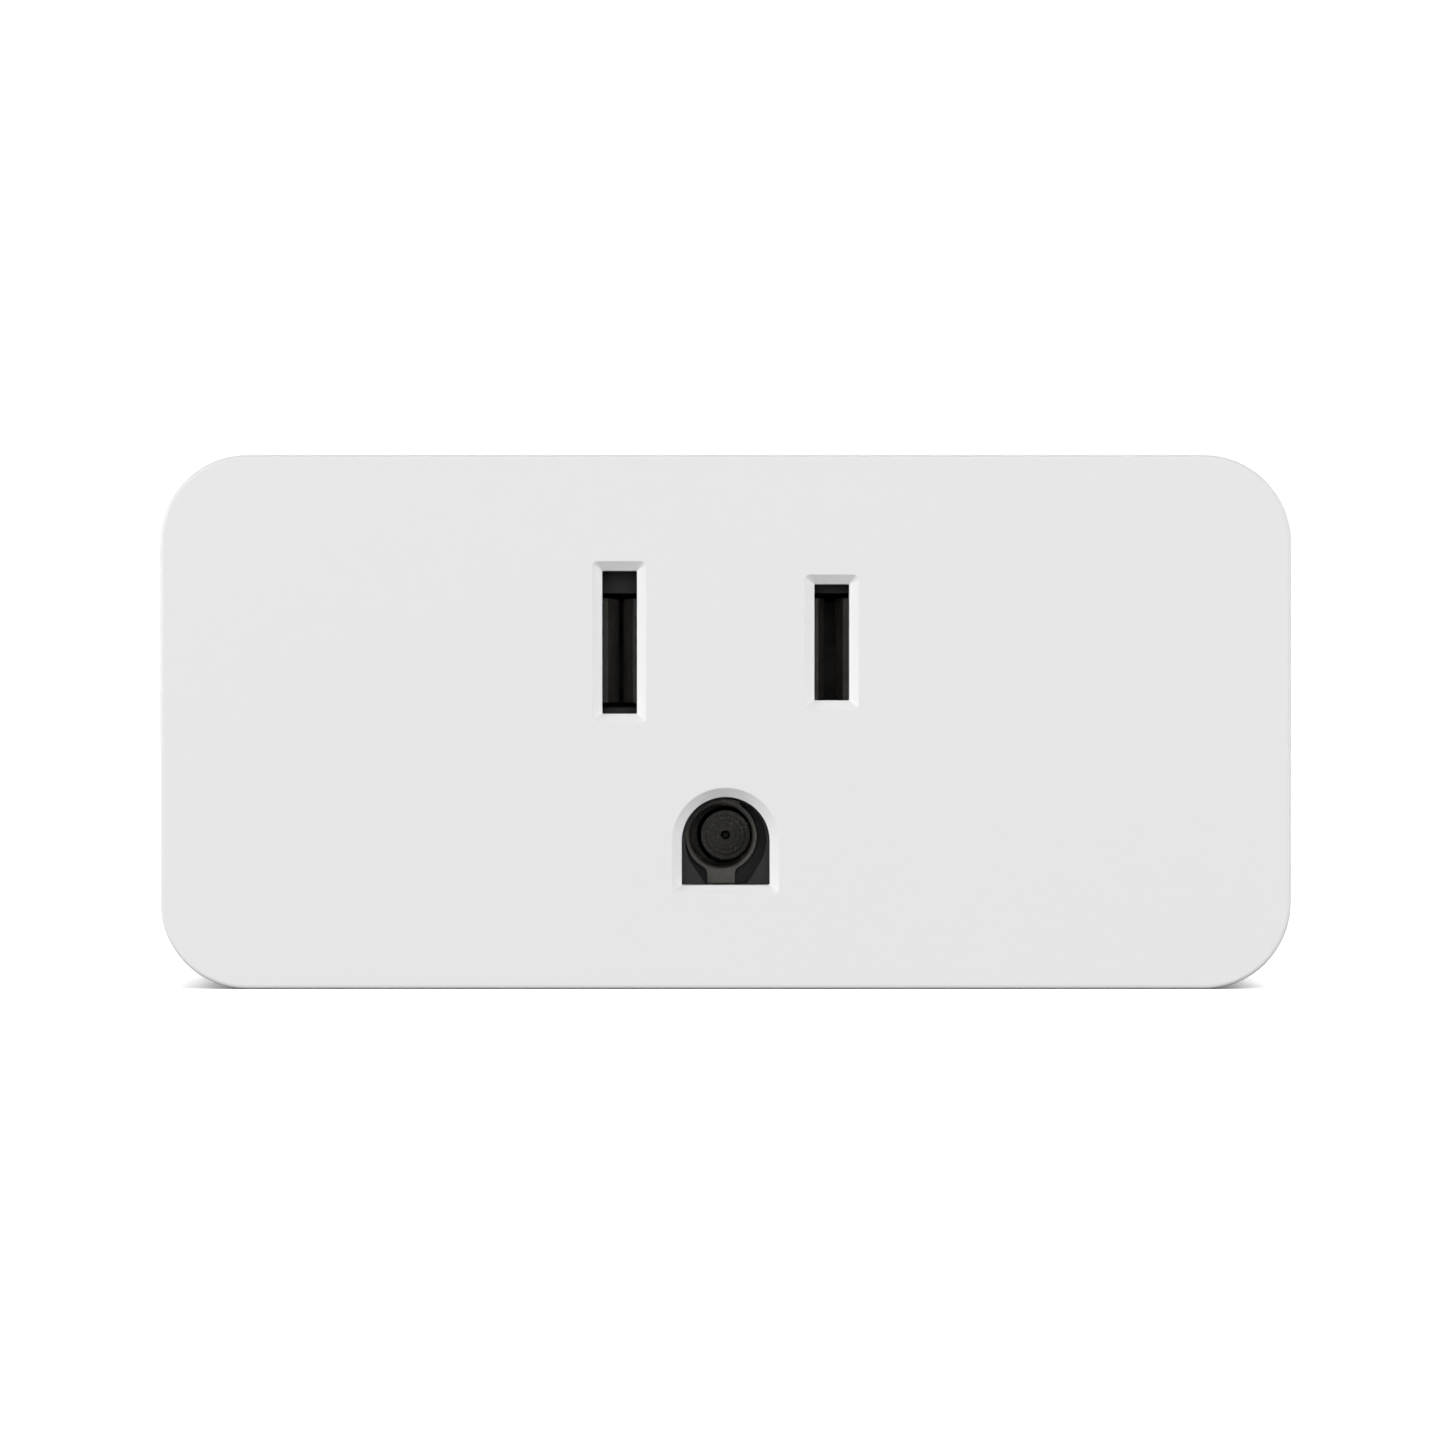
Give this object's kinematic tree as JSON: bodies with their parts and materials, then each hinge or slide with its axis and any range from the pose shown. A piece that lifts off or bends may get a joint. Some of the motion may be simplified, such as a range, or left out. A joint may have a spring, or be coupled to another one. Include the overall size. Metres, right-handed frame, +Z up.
{
  "type": "smart plug",
  "caption": "Wide white plug-in adaptor for one grounded wall outlet, with a grounded socket in front, prongs behind, a side button and a radio-controlled relay inside.",
  "frame": {"origin": "centre of the casing's wall face, the flat back that lies on the wall outlet", "axes": "+X to the right as seen from the front, +Y into the wall along the prongs, +Z up"},
  "size_m": [0.0676, 0.0542, 0.0318],
  "materials": {
    "casing_white": "fine spark-eroded moulded grain",
    "button_white": "satin moulded, a little smoother than the casing",
    "lens_clear": "clear moulded light guide, faintly frosted",
    "socket_black": "black flame-retardant moulding, satin",
    "spring_metal": "tin-plated spring bronze, dulled",
    "prong_metal": "nickel-plated brass, fine drawn lines",
    "copper": "bare copper alloy",
    "board_green": "solder-resist coated glass-fibre board",
    "header_black": "black moulded nylon",
    "pin_gold": "gold-flashed header pins",
    "steel": "zinc-plated steel",
    "iron": "nickel-plated soft iron",
    "chip_black": "moulded epoxy package",
    "led_body": "white package with a phosphor window",
    "relay_case_black": "black moulded polyester, satin",
    "bobbin_natural": "natural moulded polyester",
    "enamelled_wire": "enamelled copper winding wire",
    "contact_silver": "silver alloy contact",
    "can_aluminium": "drawn aluminium can",
    "sleeve_dark": "heat-shrunk film sleeve",
    "varistor_blue": "blue dipped epoxy",
    "resistor_green": "dipped cement coating",
    "ferrite": "sintered ferrite, dull grey",
    "tape_yellow": "polyester tape over the windings"
  },
  "bodies": {
    "root": {"front_shell": "casing_white", "rear_cover": "casing_white", "cover_screws": "steel", "status_lens": "lens_clear", "socket_block": "socket_black", "socket_block_back": "socket_black", "neutral_contact": "spring_metal", "live_contact": "spring_metal", "ground_contact": "spring_metal", "neutral_blade": "prong_metal", "live_blade": "prong_metal", "ground_pin": "prong_metal", "ground_strap": "spring_metal", "prong_carrier": "socket_black", "main_board": "board_green", "board_screws": "steel", "control_board": "board_green", "board_header": "header_black", "header_pins": "pin_gold", "radio_can": "steel", "radio_chip": "chip_black", "antenna_trace": "copper", "status_led": "led_body", "switch_body": "header_black", "switch_cover": "steel", "switch_dome": "steel", "relay_case": "relay_case_black", "relay_base": "relay_case_black", "relay_bobbin": "bobbin_natural", "relay_coil": "enamelled_wire", "relay_core": "iron", "relay_yoke": "iron", "relay_return_spring": "copper", "relay_fixed_contact": "contact_silver", "relay_fixed_terminal": "copper", "relay_pins": "spring_metal", "capacitor_cans": "can_aluminium", "capacitor_sleeves": "sleeve_dark", "output_capacitor": "sleeve_dark", "varistor": "varistor_blue", "fuse_resistor": "resistor_green", "transformer_core": "ferrite", "transformer_bobbin": "header_black", "transformer_winding": "tape_yellow", "transformer_pins": "spring_metal", "supply_chip": "chip_black", "bridge_rectifier": "chip_black"},
    "button": {"button_cap": "button_white"},
    "plunger": {"switch_plunger": "header_black"},
    "armature": {"relay_armature": "iron", "relay_contact_leaf": "copper", "relay_moving_contact": "contact_silver"}
  },
  "joints": [
    {"name": "button_press", "type": "slide", "parent": "root", "child": "button", "axis": [-1, 0, 0], "range_m": [0, 0.00035], "stiffness_N_per_m": 3000},
    {"name": "plunger_press", "type": "slide", "parent": "root", "child": "plunger", "axis": [-1, 0, 0], "range_m": [0, 0.00035], "deforming": ["switch_dome"]},
    {"name": "armature_rock", "type": "hinge", "parent": "root", "child": "armature", "pos_m": [0.0177, -0.0205, 0.00482], "axis": [-1, 0, 0], "range_deg": [0, 5], "stiffness_Nm_per_rad": 0.03, "deforming": ["relay_return_spring"]}
  ],
  "couplings": [
    {"joint": "plunger_press", "follows": "button_press", "ratio": 1}
  ]
}
